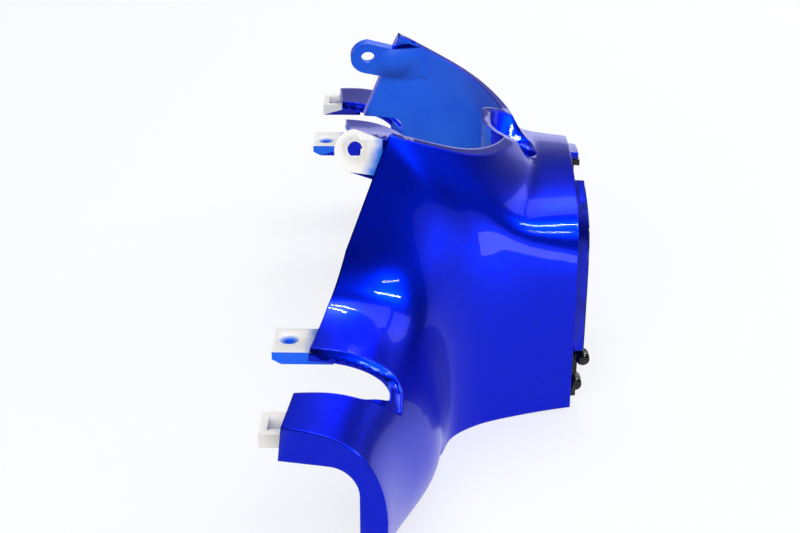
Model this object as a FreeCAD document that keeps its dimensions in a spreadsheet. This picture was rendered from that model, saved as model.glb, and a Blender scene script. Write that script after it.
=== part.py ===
import FreeCAD, Part
import math
import os
from FreeCAD import Placement, Rotation, Vector

# Front half of a scooter's handlebar cover: one thin-walled moulding with a lamp box ahead, a neck
# that holds the instruments, and two sleeves over the handlebar, plus the black lamp bezel in it.
# Ahead is -Y, the rider's right is -X, and the part stands on z = 0. All sizes are in mm.

SIZES = [
    ("wall", 3.0, "thickness of the moulded skin"),
    ("box_half", 46.3, "half width of the lamp box at its upper edges"),
    ("neck_half", 57.7, "half width of the neck at the rear corners of its rim"),
    ("slot_inner", 107.3, "centre plane to the inner edge of a lever slot"),
    ("sleeve_end", 154.4, "centre plane to a sleeve's end face, at its rear edge"),
    ("sleeve_front", 42.0, "parting edge to the front of a sleeve at its root"),
    ("box_front", 88.0, "parting edge to the front edge of the lamp box"),
    ("sleeve_top", 58.0, "height of a sleeve's rear upper edge"),
    ("box_top", 83.0, "height of the lamp box on the centre plane"),
    ("neck_top", 111.2, "height of the rim's rear corners"),
    ("rim_ahead", 23.7, "parting edge to the rim's rear corners"),
    ("rim_slope", 22.5, "fall of the rim towards the front, degrees"),
    ("foot_slope", 0.03, "rise of the lamp box's lower edge towards the front"),
    ("end_sweep", 10.7, "turn of a sleeve's end face towards the rear, degrees"),
    ("end_plate", 3.0, "thickness of a sleeve's end ring"),
    ("grip_front", 17.8, "parting edge to the front of an end ring's opening and the sleeve's foot"),
    ("grip_top", 45.2, "height of the top of that opening"),
    ("grip_foot", 10.6, "height of its foot"),
    ("grip_corner", 9.0, "corner radius of that opening"),
    ("slot_width", 29.0, "width of a lever slot at the parting edge"),
    ("slot_depth", 28.8, "depth of a lever slot"),
    ("slot_corner", 5.0, "inner corner radius of a lever slot"),
    ("lip_step", 1.2, "step down from the outer face to the lip round a lever slot"),
    ("lip_depth", 3.8, "depth of that lip's lower face"),
    ("lip_side", 1.5, "width of the lip along the slot's sides"),
    ("lip_front", 3.5, "width of the lip at the slot's front"),
    ("collar_inset", 3.0, "step from the box's outer face in to the collar"),
    ("collar_wall", 2.2, "thickness of the collar round the lamp opening"),
    ("collar_reach", 3.7, "collar's overhang past the front edge of the box"),
    ("collar_root", 8.3, "length of the collar inside the box"),
    ("collar_gap_half", 14.0, "half of the gap in the collar at the top"),
    ("collar_foot", 24.0, "height of the collar's lower ends"),
    ("bezel_wall", 2.2, "thickness of the lamp bezel"),
    ("bezel_gap", 0.3, "clearance between the bezel and the collar"),
    ("bezel_reach", 4.3, "bezel's overhang past the front edge of the box"),
    ("bezel_root", 4.7, "length of the bezel inside the box"),
    ("bezel_foot", 3.0, "height of the bezel's lower ends"),
    ("leg_reach", 2.2, "overhang of the bezel's legs past the front edge of the box"),
    ("lug_reach", 6.3, "overhang of the bezel's round lugs past that edge"),
    ("lug_round", 2.4, "radius of those lugs"),
    ("lug_up", 20.6, "height of those lugs' middle"),
    ("low_lug_round", 2.5, "radius of the lugs lower down on the legs"),
    ("low_lug_up", 9.2, "height of those lower lugs' middle"),
    ("niche_half", 12.0, "half width of the niche in the front of the rim"),
    ("niche_back", 58.2, "parting edge to the back of the niche"),
    ("niche_floor", 83.5, "height of the niche's floor"),
    ("niche_corner", 7.0, "corner radius of the niche"),
    ("groove_half", 3.7, "half width of the groove ahead of the niche"),
    ("groove_ahead", 75.2, "parting edge to the round front end of that groove"),
    ("groove_floor", 81.4, "height of that groove's floor"),
    ("top_tab_hole", 2.6, "radius of the hole in a top tab"),
    ("top_tab_seat", 3.6, "radius of the screw head's seat on the tab's outer side"),
    ("seat_depth", 1.4, "depth of that seat"),
    ("top_tab_round", 6.6, "radius of a top tab's rounded end"),
    ("top_tab_wall", 3.0, "thickness of a top tab"),
    ("top_tab_long", 24.0, "hole to the front end of a top tab"),
    ("box_tab_hole", 1.6, "radius of the screw hole in a lower tab"),
    ("box_tab_wide", 17.0, "width of a lower tab"),
    ("box_tab_wall", 4.2, "thickness of a lower tab"),
    ("box_tab_reach", 12.6, "lower tab's overhang past the parting edge"),
    ("loop_wide", 13.5, "width of a sleeve's loop tab"),
    ("loop_reach", 7.4, "loop tab's overhang past the parting edge"),
    ("loop_wall", 4.6, "thickness of a loop tab"),
    ("notch_ahead", 25.0, "parting edge to the front of the cable notch"),
    ("notch_top", 73.6, "height of the cable notch's upper edge"),
    ("notch_foot", 62.0, "height of the cable notch's lower edge"),
]

doc = FreeCAD.newDocument("HandlebarFairing")
sheet = doc.addObject("Spreadsheet::Sheet", "Sizes")
for row, (alias, value, note) in enumerate(SIZES, start=1):
    sheet.set(f"A{row}", note)
    sheet.set(f"B{row}", str(value))
    sheet.setAlias(f"B{row}", alias)
doc.recompute()
size = {alias: float(getattr(sheet, alias)) for alias, _, _ in SIZES}

# The origin is midway between the front of the bezel's lugs and the rear of the lower tabs.
ORIGIN_AHEAD = (size["box_front"] + size["lug_reach"] - size["box_tab_reach"]) / 2
PAST = 200.0
OVERLAP = 1.5

# Control ribs of the outer skin, drawn at the levels below. Each runs from just past the upper
# edge (rear parting edge or rim) to just past the lower one (bottom edge or lamp opening). A sleeve
# blends a small end profile, (ahead, up), into a larger root profile; the other ribs are drawn as
# (side, ahead, up).
DRAWN_SIDES = (0.0, 46.3, 57.7, 107.3, 154.4)
DRAWN_AHEADS = (0.0, 42.0, 88.0)
DRAWN_UPS = (0.0, 58.0, 83.0, 111.2)
SLEEVE_TIP = [(-14, 56.4), (-3, 56.6), (9, 55.8), (18.5, 50.8), (24.7, 41), (26.8, 27), (24.3, 11.5),
              (16, 0.8), (-6, 0.4)]
SLEEVE_ROOT = [(-10, 58.2), (2, 58.4), (14, 57), (25.5, 51.2), (33.5, 41), (40, 29), (42.3, 14),
               (34.5, 0.8), (4, 0.4)]
SWEEP_AXIS_AHEAD = -5.0
# Each station of a sleeve: centre plane to the rib, share of the root profile, sideways sweep.
SLEEVE_STATIONS = [(164, -0.25, 0.19), (156, 0.0, 0.19), (149, 0.08, 0.17), (141, 0.2, 0.13),
                   (131, 0.41, 0.08), (119.5, 0.72, 0.04), (107.3, 1.0, 0.0)]
BODY_RIBS = [
    [(96.5, -9, 58.8), (96, 2.5, 58.9), (95.5, 14.5, 57.8), (95, 26, 52.5), (94.5, 34.5, 42.5),
     (94, 41, 29.5), (93.5, 43.3, 14), (93, 38, 1), (93, 16, 0.6)],
    [(88, -7.5, 60), (86.5, 4, 60), (86, 16, 59), (85.5, 27.5, 54), (85, 35.5, 44),
     (84.5, 40.8, 30.5), (84, 42.8, 15), (83.5, 40.5, 2), (83, 29, 0.8)],
    [(82, -5.5, 62), (79.5, 6, 62.2), (79, 18, 61.2), (78.5, 29, 56), (78, 36.5, 46),
     (77.5, 40.6, 32), (77, 42.2, 16.5), (76.5, 42, 5), (76, 40.5, 0.6)],
    [(76, -3, 66.5), (74.2, 8, 66.8), (74, 20, 65), (73.5, 31, 58.5), (73, 37.8, 47.5),
     (72.3, 41, 33), (71.7, 42.3, 17.5), (71, 42.5, 4), (70.5, 42.5, -5)],
    [(72.5, -0.5, 73.5), (70.7, 10.5, 73.5), (70.3, 22, 70.3), (69.5, 32.5, 62), (68.5, 39, 50),
     (67.5, 42, 34.5), (66.7, 43.2, 18.5), (66, 43.5, 4.5), (65.8, 43.5, -6)],
    [(69.5, 3.5, 84.5), (67.4, 14, 83), (67, 25, 77.5), (66, 35, 67.5), (64.5, 41, 54),
     (62.8, 44, 37.5), (61.8, 45.2, 20.5), (61, 45.5, 5), (60.6, 45.5, -6)],
    [(65.5, 8.5, 99), (63.5, 19, 96), (63.5, 29.5, 88), (62.5, 38.5, 75.5), (60.5, 44.5, 60),
     (58.3, 48, 41.5), (57, 49.5, 22.5), (56, 50.3, 6), (55.5, 50.5, -6)],
    [(59.5, 15, 119), (58.8, 25, 111), (60, 34.5, 99), (59.3, 42.5, 84.5), (57, 49, 67),
     (54.3, 53.5, 47), (52.3, 56, 26), (51, 57, 7.5), (50.5, 57.5, -6)],
    [(52.5, 31, 116), (54.3, 35.5, 104.5), (56, 42.5, 92.5), (55.5, 49.5, 79), (53.3, 56.5, 63),
     (50.8, 62.5, 44.5), (48.3, 67, 24.5), (46.3, 69.5, 6.5), (45.5, 70.5, -6)],
    [(48, 40.5, 113), (50.5, 44, 101.5), (53, 49, 90.5), (53, 55, 78.5), (51, 62.5, 64.5),
     (49, 70.5, 47), (45.5, 78.5, 27), (41.5, 85, 9), (38.5, 92, -7)],
    [(43.8, 46.5, 110), (46.3, 49.8, 99.5), (49.8, 54, 89.5), (51.2, 59.5, 79), (50, 67, 69),
     (48.5, 75.5, 57.5), (46.5, 83, 44), (44.5, 90, 32), (43, 96, 22)],
    [(39.8, 50.5, 108.5), (42.2, 53.8, 98), (45.8, 57.8, 88.5), (48.5, 62.8, 79), (48.8, 69.5, 72.5),
     (48.3, 77, 66.5), (47.5, 84, 60.5), (46.8, 90, 55.5), (46.3, 95, 51)],
    [(35.5, 54, 106.5), (37.8, 57.2, 96.5), (41.3, 61.2, 87.5), (44.3, 66, 79.3), (45.8, 72, 75.3),
     (46.3, 78.5, 72.5), (46.3, 84.5, 70), (46.2, 90, 68), (46, 95, 66)],
    [(30, 57.3, 105), (32, 60.5, 95), (35, 64.7, 86.8), (37.3, 69, 80.5), (38.8, 74.3, 78.6),
     (39.5, 79.8, 77.8), (39.7, 85, 77), (39.7, 90, 76.3), (39.7, 95, 75.6)],
    [(22.3, 61, 103.5), (23.5, 64.2, 93.8), (25.5, 68.3, 86.3), (27, 72, 81.8), (28, 76.8, 80.8),
     (28.3, 81.5, 80.3), (28.5, 86, 80), (28.5, 90.5, 79.6), (28.5, 95, 79.2)],
    [(11.5, 64, 101.8), (12, 67.3, 92.8), (13, 71, 86.2), (13.7, 74.3, 82.7), (14, 78.7, 82.3),
     (14.2, 82.8, 82), (14.3, 86.8, 81.8), (14.3, 91, 81.6), (14.3, 95, 81.4)],
    [(0, 65, 101.3), (0, 68.2, 92.3), (0, 71.8, 86.2), (0, 75, 83.2), (0, 79.3, 82.9),
     (0, 83.3, 82.7), (0, 87, 82.6), (0, 91, 82.5), (0, 95, 82.4)],
]


def banded(value, drawn, wanted):
    """A drawn coordinate, stretched so that each drawn level lands on the wanted one."""
    for k in range(1, len(drawn)):
        if value <= drawn[k]:
            share = (value - drawn[k - 1]) / (drawn[k] - drawn[k - 1])
            return wanted[k - 1] + min(share, 1.0) * (wanted[k] - wanted[k - 1]) if value > 0 else value
    return value - drawn[-1] + wanted[-1]


def spot(side, ahead, up):
    """A point given from the centre plane, the parting edge and the table."""
    return Vector(side, ORIGIN_AHEAD - ahead, up)


def skin_point(side, ahead, up):
    """A drawn control point at the sizes in force."""
    sides = (0.0, size["box_half"], size["neck_half"], size["slot_inner"], size["sleeve_end"])
    aheads = (0.0, size["sleeve_front"], size["box_front"])
    ups = (0.0, size["sleeve_top"], size["box_top"], size["neck_top"])
    return spot(banded(side, DRAWN_SIDES, sides), banded(ahead, DRAWN_AHEADS, aheads),
                banded(up, DRAWN_UPS, ups))


def skin_ribs():
    """The control ribs from the left sleeve's end, over the centre, to the right sleeve's end."""
    half = []
    for side, blend, sweep in SLEEVE_STATIONS:
        rib = []
        for (tip_ahead, tip_up), (root_ahead, root_up) in zip(SLEEVE_TIP, SLEEVE_ROOT):
            ahead = tip_ahead + blend * (root_ahead - tip_ahead)
            up = tip_up + blend * (root_up - tip_up)
            rib.append(skin_point(side + sweep * (ahead - SWEEP_AXIS_AHEAD), ahead, up))
        half.append(rib)
    half += [[skin_point(*point) for point in rib] for rib in BODY_RIBS]
    return half + [[Vector(-p.x, p.y, p.z) for p in rib] for rib in reversed(half[:-1])]


def cubic_sheet(poles):
    """A smooth sheet with the given net of control points."""
    smooth = Part.BSplineSurface()
    knots, mults = [], []
    for count in (len(poles), len(poles[0])):
        knots.append([float(k) for k in range(count - 2)])
        mults.append([4] + [1] * (count - 4) + [4])
    smooth.buildFromPolesMultsKnots(poles, mults[0], mults[1], knots[0], knots[1], False, False, 3, 3)
    return smooth


def moved_in(surface, depth):
    """The sheet moved inward by a depth, each control point along the normal under it."""
    poles = surface.getPoles()
    rows, columns = len(poles), len(poles[0])
    net = []
    for i in range(rows):
        u = sum(min(max(i + k - 3, 0), rows - 3) for k in (1, 2, 3)) / 3.0
        line = []
        for j in range(columns):
            v = sum(min(max(j + k - 3, 0), columns - 3) for k in (1, 2, 3)) / 3.0
            line.append(poles[i][j] - surface.normal(u, v) * depth)
        net.append(line)
    return cubic_sheet(net)


def layer(surface, near, far):
    """The solid between two depths under a sheet."""
    faces = [moved_in(surface, depth).toShape() for depth in (near, far)]
    sides = [Part.makeRuledSurface(a, b) for a, b in zip(faces[0].Edges, faces[1].Edges)]
    solid = Part.makeSolid(Part.Shell(Part.makeShell(faces + sides).Faces))
    if solid.Volume < 0:
        solid.reverse()
    return solid


def rounded(corners, radii):
    """The closed wire through the given corners, each rounded with its radius."""
    cuts = []
    for k, here in enumerate(corners):
        back = (corners[k - 1] - here).normalize()
        onward = (corners[(k + 1) % len(corners)] - here).normalize()
        half_angle = back.getAngle(onward) / 2
        reach = radii[k] / math.tan(half_angle)
        crown = here + (back + onward).normalize() * (radii[k] / math.sin(half_angle) - radii[k])
        cuts.append((here + back * reach, crown, here + onward * reach))
    edges = []
    for k, (start, crown, end) in enumerate(cuts):
        if radii[k]:
            edges.append(Part.Arc(start, crown, end).toShape())
        edges.append(Part.makeLine(end, cuts[(k + 1) % len(cuts)][0]))
    return Part.Wire(edges)


def feature(name, shape):
    """A document object that holds a ready shape."""
    held = doc.addObject("Part::Feature", name)
    held.Shape = shape
    return held


def extrusion(name, wire, direction, length, base=None):
    """A closed wire swept along a direction by a length in mm or an expression."""
    outline = feature(f"{name}_outline", Part.Face(wire))
    if base:
        outline.Placement = Placement(base, Rotation())
    swept = doc.addObject("Part::Extrusion", name)
    swept.Base = outline
    swept.DirMode = "Custom"
    swept.Dir = direction
    swept.Solid = True
    if isinstance(length, str):
        swept.setExpression("LengthFwd", length)
    else:
        swept.LengthFwd = length
    return swept


def block(name, lengths, corner, turn=None):
    """A box whose sides are numbers or expressions, with its low corner at a point."""
    box = doc.addObject("Part::Box", name)
    for side, length in zip(("Length", "Width", "Height"), lengths):
        if isinstance(length, str):
            box.setExpression(side, length)
        else:
            setattr(box, side, length)
    box.Placement = Placement(corner, turn or Rotation())
    return box


def half_space(name, point, outward):
    """A large block that fills the side of a plane that its outward direction points to."""
    turn = Rotation(Vector(0, 0, 1), outward)
    corner = point + turn.multVec(Vector(-PAST, -PAST, 0))
    return block(name, (2 * PAST, 2 * PAST, PAST), corner, turn)


def mirrored(source):
    """The same object on the other side of the centre plane."""
    image = doc.addObject("Part::Mirroring", f"{source.Name}_right")
    image.Source = source
    image.Normal = Vector(1, 0, 0)
    return image


def both(source):
    """An object and its mirror image."""
    return [source, mirrored(source)]


def fused(name, parts):
    union = doc.addObject("Part::MultiFuse", name)
    union.Shapes = parts
    return union


def cut(name, base, tools):
    less = doc.addObject("Part::Cut", name)
    less.Base = base
    less.Tool = tools[0] if len(tools) == 1 else fused(f"{name}_tools", tools)
    return less


def common(name, parts):
    shared = doc.addObject("Part::MultiCommon", name)
    shared.Shapes = parts
    return shared


def parting_cutter():
    """What lies behind the left half's rear edge.

    The edge is drawn as (up - side, ahead) and swept along the diagonal between sideways and up,
    so that it crosses the neck's walls and the sleeves' tops alike.
    """
    root_t = size["sleeve_top"] - size["slot_inner"]
    neck_t = size["neck_top"] - size["neck_half"]
    rise = neck_t - root_t
    tip_fall, rim_lean, reach_t = 0.105, 0.29, 100.0
    rim = size["rim_ahead"]
    line = [(root_t - reach_t, -tip_fall * reach_t), (root_t, 0), (root_t + 0.265 * rise, 0.17 * rim),
            (root_t + 0.53 * rise, 0.405 * rim), (neck_t, rim), (neck_t + reach_t, rim + rim_lean * reach_t)]
    behind = -60.0
    line += [(line[-1][0], behind), (line[0][0], behind)]
    middle = 30.0
    corners = [spot(-t / 2 + middle, ahead, t / 2 + middle) for t, ahead in line]
    return extrusion("behind_left", Part.makePolygon(corners + corners[:1]), Vector(1, 0, 1), 184.0)


def tip_frame():
    """A point on the left sleeve's end face, and the way out of it."""
    sweep = math.radians(size["end_sweep"])
    return spot(size["sleeve_end"], SWEEP_AXIS_AHEAD, 0), Vector(math.cos(sweep), math.sin(sweep), 0)


def slot(name, grow, floor, front_grow=None):
    """The left lever slot, grown by a distance (its front by another), from a height upward."""
    inner = size["slot_inner"] - grow
    outer = size["slot_inner"] + size["slot_width"] + grow
    front, behind = size["slot_depth"] + (grow if front_grow is None else front_grow), -20.0
    flank, slant, front_share, flank_share = 5.5, 1.0, 0.53, 0.59
    corners = [spot(inner, behind, 0), spot(inner, front, 0),
               spot(size["slot_inner"] + front_share * size["slot_width"] + 2 * grow, front, 0),
               spot(outer - flank, flank_share * size["slot_depth"], 0), spot(outer + slant, behind, 0)]
    radii = [0, size["slot_corner"] + grow, size["slot_corner"] + grow, 12.0 + grow, 0]
    return extrusion(name, rounded(corners, radii), Vector(0, 0, 1), 60.0, Vector(0, 0, floor))


def end_ring(surface):
    """The flat ring that closes the left sleeve's end round the grip."""
    point, outward = tip_frame()
    inset = point - outward * size["end_plate"]
    wires = moved_in(surface, OVERLAP).toShape().slice(outward, inset.dot(outward))
    wire = max(wires, key=lambda w: w.CenterOfMass.x)
    ends = [vertex.Point for vertex in wire.OrderedVertexes]
    closing = Part.makeLine(ends[0], ends[-1])
    plate = extrusion("end_plate", Part.Wire(wire.Edges + [closing]), outward, "Sizes.end_plate")
    front, top, foot, behind = size["grip_front"], size["grip_top"], size["grip_foot"], -30.0
    corners = [spot(0, behind, foot), spot(0, front, foot), spot(0, front, top), spot(0, behind, top)]
    corner = size["grip_corner"]
    opening = extrusion("grip_opening", rounded(corners, [0, corner, corner, 0]), Vector(1, 0, 0), PAST)
    return cut("end_ring", plate, [opening])


def niche(name, grow, floor):
    """The niche in the front of the rim, grown by a distance, from a height upward."""
    half, back = size["niche_half"] + grow, size["niche_back"] - grow
    front = size["box_front"]
    corners = [spot(half, front, 0), spot(half, back, 0), spot(-half, back, 0), spot(-half, front, 0)]
    radius = size["niche_corner"] + grow
    wire = rounded(corners, [0, radius, radius, 0])
    return extrusion(name, wire, Vector(0, 0, 1), 80.0, Vector(0, 0, floor))


def groove():
    """The short round-ended groove in the top of the lamp box, ahead of the niche."""
    half, front, floor = size["groove_half"], size["groove_ahead"], size["groove_floor"]
    back = size["niche_back"] + 4.0
    left, right = Vector(half, 0, floor), Vector(-half, 0, floor)
    edges = [Part.makeLine(right + spot(0, back, 0), right + spot(0, front - half, 0)),
             Part.Arc(right + spot(0, front - half, 0), spot(0, front, floor),
                      left + spot(0, front - half, 0)).toShape(),
             Part.makeLine(left + spot(0, front - half, 0), left + spot(0, back, 0)),
             Part.makeLine(left + spot(0, back, 0), right + spot(0, back, 0))]
    return extrusion("top_groove", Part.Wire(edges), Vector(0, 0, 1), 20.0)


def top_tab():
    """The screw tab at the left rear corner of the rim, flat inside the wall."""
    centre = spot(size["neck_half"] - 5.7, size["rim_ahead"] - 11.8, size["neck_top"] - 7.2)
    outward = Vector(0.93, 0.1, 0.35).normalize()
    ahead = (Vector(0, -1, 0) + outward * outward.y).normalize()
    up = ahead.cross(outward) * (1 if ahead.cross(outward).z > 0 else -1)
    half_wall, r, long = size["top_tab_wall"] / 2, size["top_tab_round"], size["top_tab_long"]
    step, belly, shoulder, foot = 3.4, 1.5, 9.5, -11.0

    def at(a, b):
        return centre - outward * half_wall + ahead * a + up * b

    edges = [Part.makeLine(at(long, r - step), at(shoulder, r - step)),
             Part.makeLine(at(shoulder, r - step), at(0, r)),
             Part.Arc(at(0, r), at(-r, 0), at(-belly, -r - 1.0)).toShape(),
             Part.makeLine(at(-belly, -r - 1.0), at(shoulder, foot)),
             Part.makeLine(at(shoulder, foot), at(long, foot)),
             Part.makeLine(at(long, foot), at(long, r - step))]
    plate = extrusion("top_tab_plate", Part.Wire(edges), outward, "Sizes.top_tab_wall")
    rib_corners = [at(shoulder, foot), at(long, foot), at(long, foot + 2.0), at(shoulder, foot + 2.0)]
    rib = extrusion("top_tab_rib", Part.makePolygon(rib_corners + rib_corners[:1]), outward, 7.5)
    hole = doc.addObject("Part::Cylinder", "top_tab_hole")
    hole.setExpression("Radius", "Sizes.top_tab_hole")
    hole.setExpression("Height", "4 * Sizes.top_tab_wall")
    hole.Placement = Placement(centre - outward * 4 * half_wall, Rotation(Vector(0, 0, 1), outward))
    seat = doc.addObject("Part::Cylinder", "top_tab_seat")
    seat.setExpression("Radius", "Sizes.top_tab_seat")
    seat.setExpression("Height", "2 * Sizes.top_tab_wall")
    seat.Placement = Placement(centre + outward * (half_wall - size["seat_depth"]),
                               Rotation(Vector(0, 0, 1), outward))
    return cut("top_tab", fused("top_tab_body", [plate, rib]), [hole, seat])


def box_tab(behind_edge):
    """The lower screw tab behind the parting edge, beside the left lever slot."""
    wide, thick, reach = size["box_tab_wide"], size["box_tab_wall"], size["box_tab_reach"]
    inner, top = size["slot_inner"] - 5.0 - wide, size["sleeve_top"] - 4.0
    root, nose, bevel = 7.0, 3.0, 1.6
    side = [spot(inner, -reach, top), spot(inner, -reach, top - thick + bevel),
            spot(inner, nose - reach, top - thick), spot(inner, root, top - thick), spot(inner, root, top)]
    plate = extrusion("lower_tab_plate", Part.makePolygon(side + side[:1]), Vector(1, 0, 0),
                      "Sizes.box_tab_wide")
    post = cut("lower_tab_post", block("lower_tab_block", ("Sizes.box_tab_wide", 7.5, 6.5),
                                       spot(inner, 9.0, top - 1.0)), [behind_edge])
    hole_side, hole_ahead = inner + wide / 2 - 1.0, 4.9 - reach
    hole = doc.addObject("Part::Cylinder", "lower_tab_hole")
    hole.setExpression("Radius", "Sizes.box_tab_hole")
    hole.setExpression("Height", "3 * Sizes.box_tab_wall")
    hole.Placement = Placement(spot(hole_side, hole_ahead, top - 2 * thick), Rotation())
    dimple = doc.addObject("Part::Cone", "lower_tab_dimple")
    dimple.Radius1, dimple.Radius2, dimple.Height = 2.2, 3.7, 0.9
    dimple.Placement = Placement(spot(hole_side, hole_ahead, top - 0.9), Rotation())
    return cut("lower_tab", fused("lower_tab_body", [plate, post]), [hole, dimple])


def loop_tab():
    """The loop behind the left sleeve's end, for the other half's hook."""
    wide, reach, thick = size["loop_wide"], size["loop_reach"], size["loop_wall"]
    inner, top, frame = size["sleeve_end"] - 1.5 - wide, size["sleeve_top"] - 4.6, 2.6
    root = 4.5
    body = block("loop_body", ("Sizes.loop_wide", reach + 2 * root, "Sizes.loop_wall"),
                 spot(inner, root, top - thick))
    eye = block("loop_eye", (wide - 2 * frame, reach - frame, 3 * thick),
                spot(inner + frame, frame - reach, top - 2 * thick))
    return cut("loop_tab", body, [eye])


def cable_notch():
    """The notch in the left side of the neck, open to the rear."""
    top, foot, front = size["notch_top"], size["notch_foot"], size["notch_ahead"]
    inside, behind = 50.0, -10.0
    corners = [spot(inside, behind, foot), spot(inside, front, foot), spot(inside, front, top),
               spot(inside, behind, top)]
    return extrusion("cable_notch", rounded(corners, [0, 2.0, 4.0, 0]), Vector(1, 0, 0), 34.0)


surface = cubic_sheet(skin_ribs())
skin = feature("skin", layer(surface, 0.0, size["wall"]))

slope = math.radians(size["rim_slope"])
behind = both(parting_cutter())
above_rim = half_space("above_rim", spot(0, size["rim_ahead"], size["neck_top"]),
                       Vector(0, -math.sin(slope), math.cos(slope)))
tips = both(half_space("past_tip", *tip_frame()))
lower_edge = both(block("under_sleeve", (160.0, 80.0, 60.0), spot(60, size["grip_front"], -30)))
ahead_of_box = half_space("ahead_of_box", spot(0, size["box_front"], 0), Vector(0, -1, 0))
under_all = half_space("under_all", Vector(0, 0, 0), Vector(0, 0, -1))
under_box = half_space("under_box", spot(0, size["sleeve_front"] + 3.0, 0),
                       Vector(0, -size["foot_slope"], -1))
niche_mouth = niche("niche_mouth", 0.0, size["niche_floor"])
trimmed = cut("trimmed_skin", skin, behind + [above_rim] + tips + lower_edge
              + [ahead_of_box, under_all, under_box, niche_mouth, groove()]
              + both(slot("lever_slot", 0.0, 34.0)))

lip_band = cut("lip_band", slot("lip_outside", OVERLAP, 30.0),
               [slot("lip_inside", -size["lip_side"], 20.0, -size["lip_front"])])
lip_layer = feature("lip_layer", layer(surface, size["lip_step"], size["lip_depth"]))
lip = cut("slot_lip", common("lip_under_skin", [lip_band, lip_layer]), [behind[0], lower_edge[0]])
ring = cut("trimmed_ring", end_ring(surface), [behind[0], lower_edge[0]])

niche_front = [half_space("niche_slope", spot(0, size["niche_back"] + 7.4, 93.4), Vector(0, -0.86, 0.51)),
               half_space("niche_face", spot(0, size["niche_back"] + 13.8, 0), Vector(0, -1, 0))]
niche_wall = cut("niche_wall", niche("niche_block", size["wall"], size["niche_floor"] - size["wall"]),
                 niche_front + [niche_mouth, above_rim, doc.getObject("top_groove")])

collar_far = size["collar_inset"] + size["collar_wall"]
collar_layer = feature("collar_layer", layer(surface, size["collar_inset"] - 0.3, collar_far))
collar_front = size["box_front"] + size["collar_reach"]
collar_zone = block("collar_zone", (160.0, "Sizes.collar_reach + Sizes.collar_root", 200.0),
                    spot(-80, collar_front, size["collar_foot"]))
collar_gap = block("collar_gap", ("2 * Sizes.collar_gap_half", 60.0, 200.0),
                   spot(-size["collar_gap_half"], collar_front + 8.0, 0))
collar = cut("collar", common("collar_band", [collar_layer, collar_zone]), [collar_gap])

outside = feature("outside_layer", layer(surface, -6.0, OVERLAP))
top_tabs = both(cut("trimmed_top_tab", top_tab(), [above_rim, outside]))
lower_tabs = both(cut("trimmed_lower_tab", box_tab(behind[0]), [outside]))
whole = fused("whole_shell", [trimmed, niche_wall, collar] + both(lip) + both(ring) + top_tabs
              + lower_tabs + both(loop_tab()))
shell = cut("fairing_shell", whole, [cable_notch()])

bezel_near = collar_far + size["bezel_gap"]
bezel_layer = feature("bezel_layer", layer(surface, bezel_near, bezel_near + size["bezel_wall"]))
bezel_front = size["box_front"] + size["bezel_reach"]
bezel_zone = block("bezel_zone", (160.0, "Sizes.bezel_reach + Sizes.bezel_root", 200.0),
                   spot(-80, bezel_front, size["bezel_foot"]))
bezel_gap = block("bezel_gap", ("2 * Sizes.collar_gap_half", 40.0, 60.0),
                  spot(-size["collar_gap_half"], size["box_front"] + 36.5, size["box_top"] - 23.0))
leg_front = size["box_front"] + size["leg_reach"]
leg_gap = block("leg_gap", (160.0, 20.0, "Sizes.lug_up"), spot(-80, leg_front + 20.0, 0))
bezel_frame = cut("bezel_frame", common("bezel_band", [bezel_layer, bezel_zone]), [bezel_gap, leg_gap])


def lug(name, ahead, up, radius, side, length):
    """A round lug across the left leg of the bezel."""
    round_bar = doc.addObject("Part::Cylinder", name)
    round_bar.Radius = radius
    round_bar.Height = length
    round_bar.Placement = Placement(spot(side, ahead, up), Rotation(Vector(0, 0, 1), Vector(1, 0, 0)))
    return round_bar


lug_side = size["box_half"] - 10.0
upper_lug = lug("upper_lug", size["box_front"] + size["lug_reach"] - size["lug_round"], size["lug_up"],
                size["lug_round"], lug_side, 4.2)
lower_lug = lug("lower_lug", leg_front - 0.6, size["low_lug_up"], size["low_lug_round"], lug_side - 3.7, 5.4)
bezel = fused("lamp_bezel", [bezel_frame] + both(upper_lug) + both(lower_lug))

doc.recompute()
for made in doc.Objects:
    if "Invalid" in made.State or "Error" in made.State:
        raise RuntimeError(f"{made.Name} did not build")

os.makedirs("parts", exist_ok=True)
for node in (shell, bezel):
    node.Label = node.Name
    node.Placement = Placement(Vector(0, 0, 0), Rotation())
    if node.Shape.isNull() or not node.Shape.isValid() or len(node.Shape.Solids) != 1:
        raise RuntimeError(f"{node.Label} is not one sound solid")
    node.Shape.exportStep(f"parts/{node.Label}.step")
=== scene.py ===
import math

import bmesh
import bpy
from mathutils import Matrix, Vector
from mathutils.bvhtree import BVHTree
from mathutils.interpolate import poly_3d_calc


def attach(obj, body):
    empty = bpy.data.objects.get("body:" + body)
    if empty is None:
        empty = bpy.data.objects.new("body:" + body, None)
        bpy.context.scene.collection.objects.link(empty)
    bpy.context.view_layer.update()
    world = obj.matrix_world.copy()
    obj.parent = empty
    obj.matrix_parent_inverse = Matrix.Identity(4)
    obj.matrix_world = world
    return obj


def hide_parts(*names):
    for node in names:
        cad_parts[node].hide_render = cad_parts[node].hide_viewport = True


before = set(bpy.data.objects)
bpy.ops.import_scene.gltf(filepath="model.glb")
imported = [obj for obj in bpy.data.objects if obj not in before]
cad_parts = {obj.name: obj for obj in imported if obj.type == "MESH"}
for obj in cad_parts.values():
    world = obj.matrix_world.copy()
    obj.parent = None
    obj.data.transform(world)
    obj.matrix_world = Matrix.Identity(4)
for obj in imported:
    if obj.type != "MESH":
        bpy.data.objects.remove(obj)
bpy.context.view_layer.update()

# The part's frame: -Y is ahead, -X is the rider's right, and the part stands on z = 0. Lengths
# are in metres, except in the control ribs, which are drawn in mm ahead of the parting edge.
MM = 0.001
ORIGIN_AHEAD = 40.85
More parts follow.
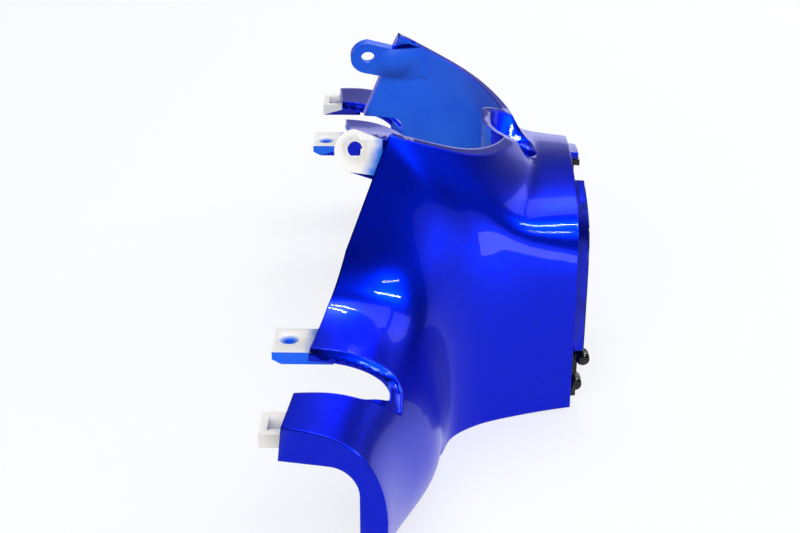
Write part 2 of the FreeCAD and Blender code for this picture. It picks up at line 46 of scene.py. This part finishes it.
# The parting edge lies at EDGE at the height EDGE_UP, and leans forward by EDGE_LEAN for each unit up.
EDGE = ORIGIN_AHEAD * MM
EDGE_UP = 0.052
EDGE_LEAN = 0.385
# The tabs behind the edge: the top ones lie above TOP_TAB_UP, the others above LOW_TAB_UP.
TOP_TAB_UP = 0.092
LOW_TAB_UP = 0.0475
# The lower tabs lie between these distances from the centre plane.
LOWER_TAB_INNER, LOWER_TAB_OUTER = 0.085, 0.103
# The left lower tab's hole, where it meets the tab's top face.
LOWER_HOLE = (0.0928, 0.04855, 0.0514)
# The end loops lie farther out than LOOP_SIDE. The edge there goes back by LOOP_EDGE_SHARE of the way
# out less the height, and is at EDGE where that difference is LOOP_EDGE_START.
LOOP_SIDE = 0.1385
LOOP_EDGE_SHARE = 0.105
LOOP_EDGE_START = 0.0493
# A face is outer skin when it lies this near to the reference skin, and the cosine of the angle
# between the two normals is above SKIN_FACING.
SKIN_REACH = 0.2 * MM
SKIN_FACING = 0.9

# A sleeve's profile at its end and at its root: (ahead, up) from the back of the top to the foot.
SLEEVE_TIP = [(-14, 56.4), (-3, 56.6), (9, 55.8), (18.5, 50.8), (24.7, 41), (26.8, 27), (24.3, 11.5),
              (16, 0.8), (-6, 0.4)]
SLEEVE_ROOT = [(-10, 58.2), (2, 58.4), (14, 57), (25.5, 51.2), (33.5, 41), (40, 29), (42.3, 14),
               (34.5, 0.8), (4, 0.4)]
SWEEP_AXIS_AHEAD = -5.0
# Each station of a sleeve: centre plane to the rib, share of the root profile, sideways sweep.
SLEEVE_STATIONS = [(164, -0.25, 0.19), (156, 0.0, 0.19), (149, 0.08, 0.17), (141, 0.2, 0.13),
                   (131, 0.41, 0.08), (119.5, 0.72, 0.04), (107.3, 1.0, 0.0)]
# The ribs of the body from the sleeve's root to the centre plane: (side, ahead, up).
BODY_RIBS = [
    [(96.5, -9, 58.8), (96, 2.5, 58.9), (95.5, 14.5, 57.8), (95, 26, 52.5), (94.5, 34.5, 42.5),
     (94, 41, 29.5), (93.5, 43.3, 14), (93, 38, 1), (93, 16, 0.6)],
    [(88, -7.5, 60), (86.5, 4, 60), (86, 16, 59), (85.5, 27.5, 54), (85, 35.5, 44),
     (84.5, 40.8, 30.5), (84, 42.8, 15), (83.5, 40.5, 2), (83, 29, 0.8)],
    [(82, -5.5, 62), (79.5, 6, 62.2), (79, 18, 61.2), (78.5, 29, 56), (78, 36.5, 46),
     (77.5, 40.6, 32), (77, 42.2, 16.5), (76.5, 42, 5), (76, 40.5, 0.6)],
    [(76, -3, 66.5), (74.2, 8, 66.8), (74, 20, 65), (73.5, 31, 58.5), (73, 37.8, 47.5),
     (72.3, 41, 33), (71.7, 42.3, 17.5), (71, 42.5, 4), (70.5, 42.5, -5)],
    [(72.5, -0.5, 73.5), (70.7, 10.5, 73.5), (70.3, 22, 70.3), (69.5, 32.5, 62), (68.5, 39, 50),
     (67.5, 42, 34.5), (66.7, 43.2, 18.5), (66, 43.5, 4.5), (65.8, 43.5, -6)],
    [(69.5, 3.5, 84.5), (67.4, 14, 83), (67, 25, 77.5), (66, 35, 67.5), (64.5, 41, 54),
     (62.8, 44, 37.5), (61.8, 45.2, 20.5), (61, 45.5, 5), (60.6, 45.5, -6)],
    [(65.5, 8.5, 99), (63.5, 19, 96), (63.5, 29.5, 88), (62.5, 38.5, 75.5), (60.5, 44.5, 60),
     (58.3, 48, 41.5), (57, 49.5, 22.5), (56, 50.3, 6), (55.5, 50.5, -6)],
    [(59.5, 15, 119), (58.8, 25, 111), (60, 34.5, 99), (59.3, 42.5, 84.5), (57, 49, 67),
     (54.3, 53.5, 47), (52.3, 56, 26), (51, 57, 7.5), (50.5, 57.5, -6)],
    [(52.5, 31, 116), (54.3, 35.5, 104.5), (56, 42.5, 92.5), (55.5, 49.5, 79), (53.3, 56.5, 63),
     (50.8, 62.5, 44.5), (48.3, 67, 24.5), (46.3, 69.5, 6.5), (45.5, 70.5, -6)],
    [(48, 40.5, 113), (50.5, 44, 101.5), (53, 49, 90.5), (53, 55, 78.5), (51, 62.5, 64.5),
     (49, 70.5, 47), (45.5, 78.5, 27), (41.5, 85, 9), (38.5, 92, -7)],
    [(43.8, 46.5, 110), (46.3, 49.8, 99.5), (49.8, 54, 89.5), (51.2, 59.5, 79), (50, 67, 69),
     (48.5, 75.5, 57.5), (46.5, 83, 44), (44.5, 90, 32), (43, 96, 22)],
    [(39.8, 50.5, 108.5), (42.2, 53.8, 98), (45.8, 57.8, 88.5), (48.5, 62.8, 79), (48.8, 69.5, 72.5),
     (48.3, 77, 66.5), (47.5, 84, 60.5), (46.8, 90, 55.5), (46.3, 95, 51)],
    [(35.5, 54, 106.5), (37.8, 57.2, 96.5), (41.3, 61.2, 87.5), (44.3, 66, 79.3), (45.8, 72, 75.3),
     (46.3, 78.5, 72.5), (46.3, 84.5, 70), (46.2, 90, 68), (46, 95, 66)],
    [(30, 57.3, 105), (32, 60.5, 95), (35, 64.7, 86.8), (37.3, 69, 80.5), (38.8, 74.3, 78.6),
     (39.5, 79.8, 77.8), (39.7, 85, 77), (39.7, 90, 76.3), (39.7, 95, 75.6)],
    [(22.3, 61, 103.5), (23.5, 64.2, 93.8), (25.5, 68.3, 86.3), (27, 72, 81.8), (28, 76.8, 80.8),
     (28.3, 81.5, 80.3), (28.5, 86, 80), (28.5, 90.5, 79.6), (28.5, 95, 79.2)],
    [(11.5, 64, 101.8), (12, 67.3, 92.8), (13, 71, 86.2), (13.7, 74.3, 82.7), (14, 78.7, 82.3),
     (14.2, 82.8, 82), (14.3, 86.8, 81.8), (14.3, 91, 81.6), (14.3, 95, 81.4)],
    [(0, 65, 101.3), (0, 68.2, 92.3), (0, 71.8, 86.2), (0, 75, 83.2), (0, 79.3, 82.9),
     (0, 83.3, 82.7), (0, 87, 82.6), (0, 91, 82.5), (0, 95, 82.4)],
]


def srgb(code):
    """A linear colour from an sRGB hex code."""
    parts = [int(code[k:k + 2], 16) / 255 for k in (0, 2, 4)]
    return [c / 12.92 if c <= 0.04045 else ((c + 0.055) / 1.055) ** 2.4 for c in parts] + [1.0]


def skin_ribs():
    """The control ribs of the outer skin from the left sleeve's end to the right one's."""
    half = []
    for side, blend, sweep in SLEEVE_STATIONS:
        rib = []
        for (tip_ahead, tip_up), (root_ahead, root_up) in zip(SLEEVE_TIP, SLEEVE_ROOT):
            ahead = tip_ahead + blend * (root_ahead - tip_ahead)
            up = tip_up + blend * (root_up - tip_up)
            rib.append((side + sweep * (ahead - SWEEP_AXIS_AHEAD), ahead, up))
        half.append(rib)
    half += BODY_RIBS
    whole = half + [[(-side, ahead, up) for side, ahead, up in rib] for rib in reversed(half[:-1])]
    return [[Vector((side, ORIGIN_AHEAD - ahead, up)) * MM for side, ahead, up in rib] for rib in whole]


def unclamped(line):
    """Control points that give the same spline with even knots past its ends."""
    start = [6 * (line[0] - line[1]) + line[2], 1.5 * line[1] - 0.5 * line[2]]
    end = [1.5 * line[-2] - 0.5 * line[-3], 6 * (line[-1] - line[-2]) + line[-3]]
    return start + line[2:-2] + end


def reference_skin():
    """The smooth outer skin, untrimmed, as a search tree with its corner normals."""
    ribs = [unclamped(rib) for rib in skin_ribs()]
    rows = [unclamped(list(row)) for row in zip(*ribs)]
    bm = bmesh.new()
    grid = [[bm.verts.new(point) for point in row] for row in rows]
    for low, high in zip(grid, grid[1:]):
        for k in range(len(low) - 1):
            bm.faces.new((low[k], low[k + 1], high[k + 1], high[k]))
    mesh = bpy.data.meshes.new("skin_cage")
    bm.to_mesh(mesh)
    bm.free()
    cage = bpy.data.objects.new("skin_cage", mesh)
    bpy.context.scene.collection.objects.link(cage)
    smooth = cage.modifiers.new("smooth", "SUBSURF")
    smooth.levels = smooth.render_levels = 4
    fine = cage.evaluated_get(bpy.context.evaluated_depsgraph_get()).to_mesh()
    points = [vertex.co.copy() for vertex in fine.vertices]
    normals = [vertex.normal.copy() for vertex in fine.vertices]
    faces = [tuple(face.vertices) for face in fine.polygons]
    bpy.data.objects.remove(cage)
    return BVHTree.FromPolygons(points, faces), points, normals, faces


def skin_normal(skin, place):
    """The outer skin's normal nearest to a place, and the distance to it."""
    tree, points, normals, faces = skin
    nearest, _, index, distance = tree.find_nearest(place)
    weights = poly_3d_calc([points[k] for k in faces[index]], nearest)
    normal = sum((normals[k] * w for k, w in zip(faces[index], weights)), Vector())
    return normal.normalized(), distance


def cad_copy(name, node):
    """A new piece with the shape of a CAD node, its loose triangles joined."""
    bm = bmesh.new()
    bm.from_mesh(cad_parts[node].data)
    bmesh.ops.remove_doubles(bm, verts=bm.verts, dist=0.002 * MM)
    mesh = bpy.data.meshes.new(name)
    bm.to_mesh(mesh)
    bm.free()
    mesh.shade_smooth()
    mesh.set_sharp_from_angle(angle=math.radians(32))
    piece = bpy.data.objects.new(name, mesh)
    bpy.context.scene.collection.objects.link(piece)
    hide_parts(node)
    return piece


class Nodes:
    """A material's node tree, with one way to add and join nodes."""

    def __init__(self, name):
        self.material = bpy.data.materials.new(name)
        self.material.use_nodes = True
        self.tree = self.material.node_tree
        self.shader = self.tree.nodes["Principled BSDF"]

    def add(self, kind, inputs=None, **settings):
        node = self.tree.nodes.new(kind)
        for key, value in settings.items():
            setattr(node, key, value)
        self.join(node, inputs or {})
        return node

    def join(self, node, inputs):
        for key, value in inputs.items():
            if isinstance(value, bpy.types.NodeSocket):
                self.tree.links.new(value, node.inputs[key])
            else:
                node.inputs[key].default_value = value

    def on_shader(self, **inputs):
        self.join(self.shader, {key.replace("_", " "): value for key, value in inputs.items()})
        return self.material


def blue_paint():
    """Metallic blue enamel under a clear coat: deep in the shade, with fine bright flakes."""
    nodes = Nodes("metallic_blue_enamel")
    place = nodes.add("ShaderNodeTexCoord").outputs["Object"]
    # Real flakes are about 0.05 mm wide; these are drawn at 0.4 mm so that some show.
    flakes = nodes.add("ShaderNodeTexVoronoi", {"Vector": place, "Scale": 1 / (0.4 * MM)})
    tone = nodes.add("ShaderNodeMapRange",
                     {"Value": flakes.outputs["Color"], "To Min": 0.86, "To Max": 1.14})
    colour = nodes.add("ShaderNodeMix", {0: 1.0, 6: srgb("001BC8"), 7: tone.outputs[0]},
                       data_type="RGBA", blend_type="MULTIPLY")
    edge = nodes.add("ShaderNodeBevel", {"Radius": 1.0 * MM}, samples=6)
    return nodes.on_shader(Base_Color=colour.outputs[2], Metallic=1.0, Roughness=0.32,
                           Specular_IOR_Level=0.05, Coat_Weight=0.22, Coat_Roughness=0.012,
                           Normal=edge.outputs[0], Coat_Normal=edge.outputs[0])


def overspray_amount(nodes):
    """How much blue drift a place has: full inside the parting edge, none well behind it."""
    place = nodes.add("ShaderNodeTexCoord").outputs["Object"]
    split = nodes.add("ShaderNodeSeparateXYZ", {0: place})
    rise = nodes.add("ShaderNodeMath", {0: split.outputs["Z"], 1: EDGE_LEAN, 2: split.outputs["Y"]},
                     operation="MULTIPLY_ADD")
    speckle = nodes.add("ShaderNodeTexNoise", {"Vector": place, "Scale": 1 / (3.0 * MM), "Detail": 6.0})
    ragged = nodes.add("ShaderNodeMath", {0: speckle.outputs[0], 1: 3.0 * MM, 2: rise.outputs[0]},
                       operation="MULTIPLY_ADD")
    edge_level = EDGE + EDGE_LEAN * EDGE_UP + 1.5 * MM
    amount = nodes.add("ShaderNodeMapRange",
                       {"Value": ragged.outputs[0], "From Min": edge_level + 4.0 * MM,
                        "From Max": edge_level - 1.0 * MM}, interpolation_type="SMOOTHSTEP")
    return amount.outputs[0]


def inside_overspray():
    """Dry blue overspray on the bare plastic inside."""
    nodes = Nodes("blue_overspray_on_abs")
    place = nodes.add("ShaderNodeTexCoord").outputs["Object"]
    # Grain of the dry spray, about 0.5 mm, over drifts of about 25 mm.
    grain = nodes.add("ShaderNodeTexNoise", {"Vector": place, "Scale": 1 / (0.5 * MM), "Detail": 3.0})
    drift = nodes.add("ShaderNodeTexNoise", {"Vector": place, "Scale": 1 / (25 * MM), "Detail": 2.0})
    level = nodes.add("ShaderNodeMath", {0: grain.outputs[0], 1: drift.outputs[0]}, operation="ADD")
    amount = nodes.add("ShaderNodeMapRange", {"Value": level.outputs[0], "From Min": 0.7, "From Max": 1.3})
    colour = nodes.add("ShaderNodeMix", {0: amount.outputs[0], 6: srgb("0E54F0"), 7: srgb("1C78FF")},
                       data_type="RGBA")
    return nodes.on_shader(Base_Color=colour.outputs[2], Roughness=0.55)


def bare_plastic():
    """Off-white ABS with a drift of blue overspray, and a painted ring of spray and shade round each lower
    hole.
    """
    nodes = Nodes("off_white_abs")
    place = nodes.add("ShaderNodeTexCoord").outputs["Object"]
    mirrored = nodes.add("ShaderNodeVectorMath", {0: place}, operation="ABSOLUTE")
    reach = nodes.add("ShaderNodeVectorMath", {0: mirrored.outputs[0], 1: LOWER_HOLE}, operation="DISTANCE")
    # A soft blue ring round each lower tab's hole stands for spray that came up through the hole, and for
    # painted shade in the hole's countersink.
    hole_spray_and_shade = nodes.add("ShaderNodeMapRange", {"Value": reach.outputs["Value"], "From Min": 4.4 * MM,
                                            "From Max": 2.6 * MM}, interpolation_type="SMOOTHSTEP")
    blue = nodes.add("ShaderNodeMath", {0: overspray_amount(nodes), 1: hole_spray_and_shade.outputs[0]},
                     operation="MAXIMUM")
    colour = nodes.add("ShaderNodeMix", {0: blue.outputs[0], 6: srgb("FAF8F2"), 7: srgb("2478E8")},
                       data_type="RGBA")
    return nodes.on_shader(Base_Color=colour.outputs[2], Roughness=0.6)


def black_gloss():
    """Polished black ABS."""
    nodes = Nodes("polished_black_abs")
    return nodes.on_shader(Base_Color=srgb("020203"), Roughness=0.12, Specular_IOR_Level=0.35)


OUTER, INNER, BARE = range(3)


def finish_of(face, along, on_skin):
    """The finish of a face of the moulding, from its place and which way it looks."""
    side, back, up = abs(face.center.x), face.center.y, face.center.z
    behind_edge = back + EDGE_LEAN * (up - EDGE_UP) > EDGE
    # The right top tab is bare outside; its inner side and the whole left one carry overspray.
    if behind_edge and up > TOP_TAB_UP:
        outward = face.normal.x * face.center.x > 0 or abs(face.normal.x) < 0.5
        return BARE if outward and face.center.x < 0 else INNER
    if behind_edge and up > LOW_TAB_UP and LOWER_TAB_INNER < side < LOWER_TAB_OUTER and not on_skin:
        return BARE if face.normal.z > 0.3 else INNER
    loop_edge = EDGE + LOOP_EDGE_SHARE * (side - up - LOOP_EDGE_START)
    if up > LOW_TAB_UP and side > LOOP_SIDE and back > loop_edge + 0.3 * MM:
        return BARE
    return OUTER if along > -0.5 else INNER


def make_shell():
    """The painted moulding, with the reference skin's normals on its outer face."""
    piece = cad_copy("fairing", "fairing_shell")
    for material in (blue_paint(), inside_overspray(), bare_plastic()):
        piece.data.materials.append(material)
    mesh = piece.data
    skin = reference_skin()
    corner_normals = [Vector() for _ in mesh.loops]
    for face in mesh.polygons:
        normal, distance = skin_normal(skin, face.center)
        along = face.normal.dot(normal)
        on_skin = distance < SKIN_REACH and along > SKIN_FACING
        face.material_index = finish_of(face, along, on_skin)
        if on_skin:
            for loop in face.loop_indices:
                corner = mesh.vertices[mesh.loops[loop].vertex_index].co
                corner_normals[loop] = skin_normal(skin, corner)[0]
    mesh.normals_split_custom_set(corner_normals)
    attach(piece, "root")


def make_bezel():
    """The black frame round the lamp's opening."""
    piece = cad_copy("bezel", "lamp_bezel")
    piece.data.materials.append(black_gloss())
    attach(piece, "root")


def plain_box(name, low, high, material):
    """A box between two corners, for the stage."""
    bm = bmesh.new()
    bmesh.ops.create_cube(bm, size=1.0)
    low, high = Vector(low), Vector(high)
    for vertex in bm.verts:
        vertex.co = [(low[k] + high[k]) / 2 + vertex.co[k] * (high[k] - low[k]) for k in range(3)]
    mesh = bpy.data.meshes.new(name)
    bm.to_mesh(mesh)
    bm.free()
    mesh.materials.append(material)
    box = bpy.data.objects.new(name, mesh)
    bpy.context.scene.collection.objects.link(box)


def make_floor():
    """The matt card that the part stands on."""
    nodes = Nodes("white_card")
    # A glow lifts the grey card to white in the picture and in gloss, and keeps its shadows.
    path = nodes.add("ShaderNodeLightPath").outputs
    in_gloss = nodes.add("ShaderNodeMath", {0: path["Is Glossy Ray"], 1: path["Is Transmission Ray"]},
                         operation="MAXIMUM")
    seen = nodes.add("ShaderNodeMath", {0: path["Is Camera Ray"], 1: in_gloss.outputs[0]},
                     operation="MAXIMUM")
    glow = nodes.add("ShaderNodeMath", {0: seen.outputs[0], 1: 0.73}, operation="MULTIPLY")
    material = nodes.on_shader(Base_Color=srgb("909398"), Roughness=0.9, Specular_IOR_Level=0.1,
                               Emission_Color=srgb("FFFFFF"), Emission_Strength=glow.outputs[0])
    plain_box("floor", (-4, -4, -0.02), (4, 4, 0.0), material)


def panel(name, place, target, width, height, radiance, matt=True, gloss=True):
    """A rectangular lamp that points at a target, as bright as a white card times its radiance.

    The camera never sees it, and it may be left out of what matt surfaces catch or of what shows in gloss.
    """
    data = bpy.data.lights.new(name, "AREA")
    data.shape = "RECTANGLE"
    data.size, data.size_y = width, height
    data.energy = radiance * math.pi * width * height
    lamp = bpy.data.objects.new(name, data)
    lamp.location = place
    lamp.rotation_euler = (Vector(target) - Vector(place)).to_track_quat("-Z", "Y").to_euler()
    lamp.visible_diffuse = matt
    lamp.visible_glossy = gloss
    lamp.visible_camera = False
    bpy.context.scene.collection.objects.link(lamp)
    return lamp


def tube(name, start, end, width, radiance):
    """A lamp tube between two points overhead, that only shows in gloss."""
    start, end = Vector(start), Vector(end)
    middle = (start + end) / 2
    length = (end - start).length
    lamp = panel(name, middle, middle - Vector((0, 0, 1)), width, length, radiance, matt=False)
    lamp.rotation_euler = (0, 0, math.atan2(end.y - start.y, end.x - start.x) - math.pi / 2)


def make_lights():
    """A dim room, soft lamps round and above the part, and thin tubes that show as lines in the coat."""
    world = bpy.data.worlds.new("room")
    world.use_nodes = True
    background = world.node_tree.nodes["Background"]
    background.inputs["Color"].default_value = srgb("F4F6FF")
    background.inputs["Strength"].default_value = 0.12
    bpy.context.scene.world = world
    panel("ceiling", (0.46, -0.25, 1.05), (0.46, -0.24, 0), 0.78, 1.2, 2.6)
    panel("curtain", (0.6, -0.95, 0.72), (0.6, 0, 0.72), 0.83, 0.56, 2.2)
    panel("fill", (-0.95, 0.15, 0.45), (0, 0, 0.06), 0.9, 0.8, 4.3, gloss=False)
    panel("backdrop", (1.4, 0.2, 0.135), (0, 0, 0.1), 2.4, 0.27, 1.5)
    panel("low_card", (-0.165, -0.106, 0.028), (-0.048, -0.034, 0.066), 0.055, 0.026, 7.0, matt=False)
    tube("ridge_tube_1", (-0.42, -0.45, 1.0), (-0.42, -1.3, 1.0), 0.06, 130.0)
    tube("ridge_tube_2", (-0.95, -0.7, 1.0), (-1.35, -1.5, 1.0), 0.05, 130.0)
    tube("fold_tube_1", (0.33, 0.0, 1.0), (0.57, -0.13, 1.0), 0.03, 130.0)
    tube("fold_tube_2", (0.22, -0.03, 1.0), (0.41, -0.20, 1.0), 0.03, 130.0)


def make_camera():
    """A long lens beyond the right sleeve and above it, looking down across the part to its left."""
    data = bpy.data.cameras.new("photo_camera")
    data.lens, data.sensor_width = 76.5, 36.0
    camera = bpy.data.objects.new("photo_camera", data)
    camera.location = (-0.5806, 0.0012, 0.3014)
    camera.rotation_euler = Vector((0.9103, 0.0219, -0.4132)).to_track_quat("-Z", "Y").to_euler()
    bpy.context.scene.collection.objects.link(camera)
    bpy.context.scene.camera = camera


make_shell()
make_bezel()
make_floor()
make_lights()
make_camera()
bpy.context.scene.view_settings.view_transform = "Standard"
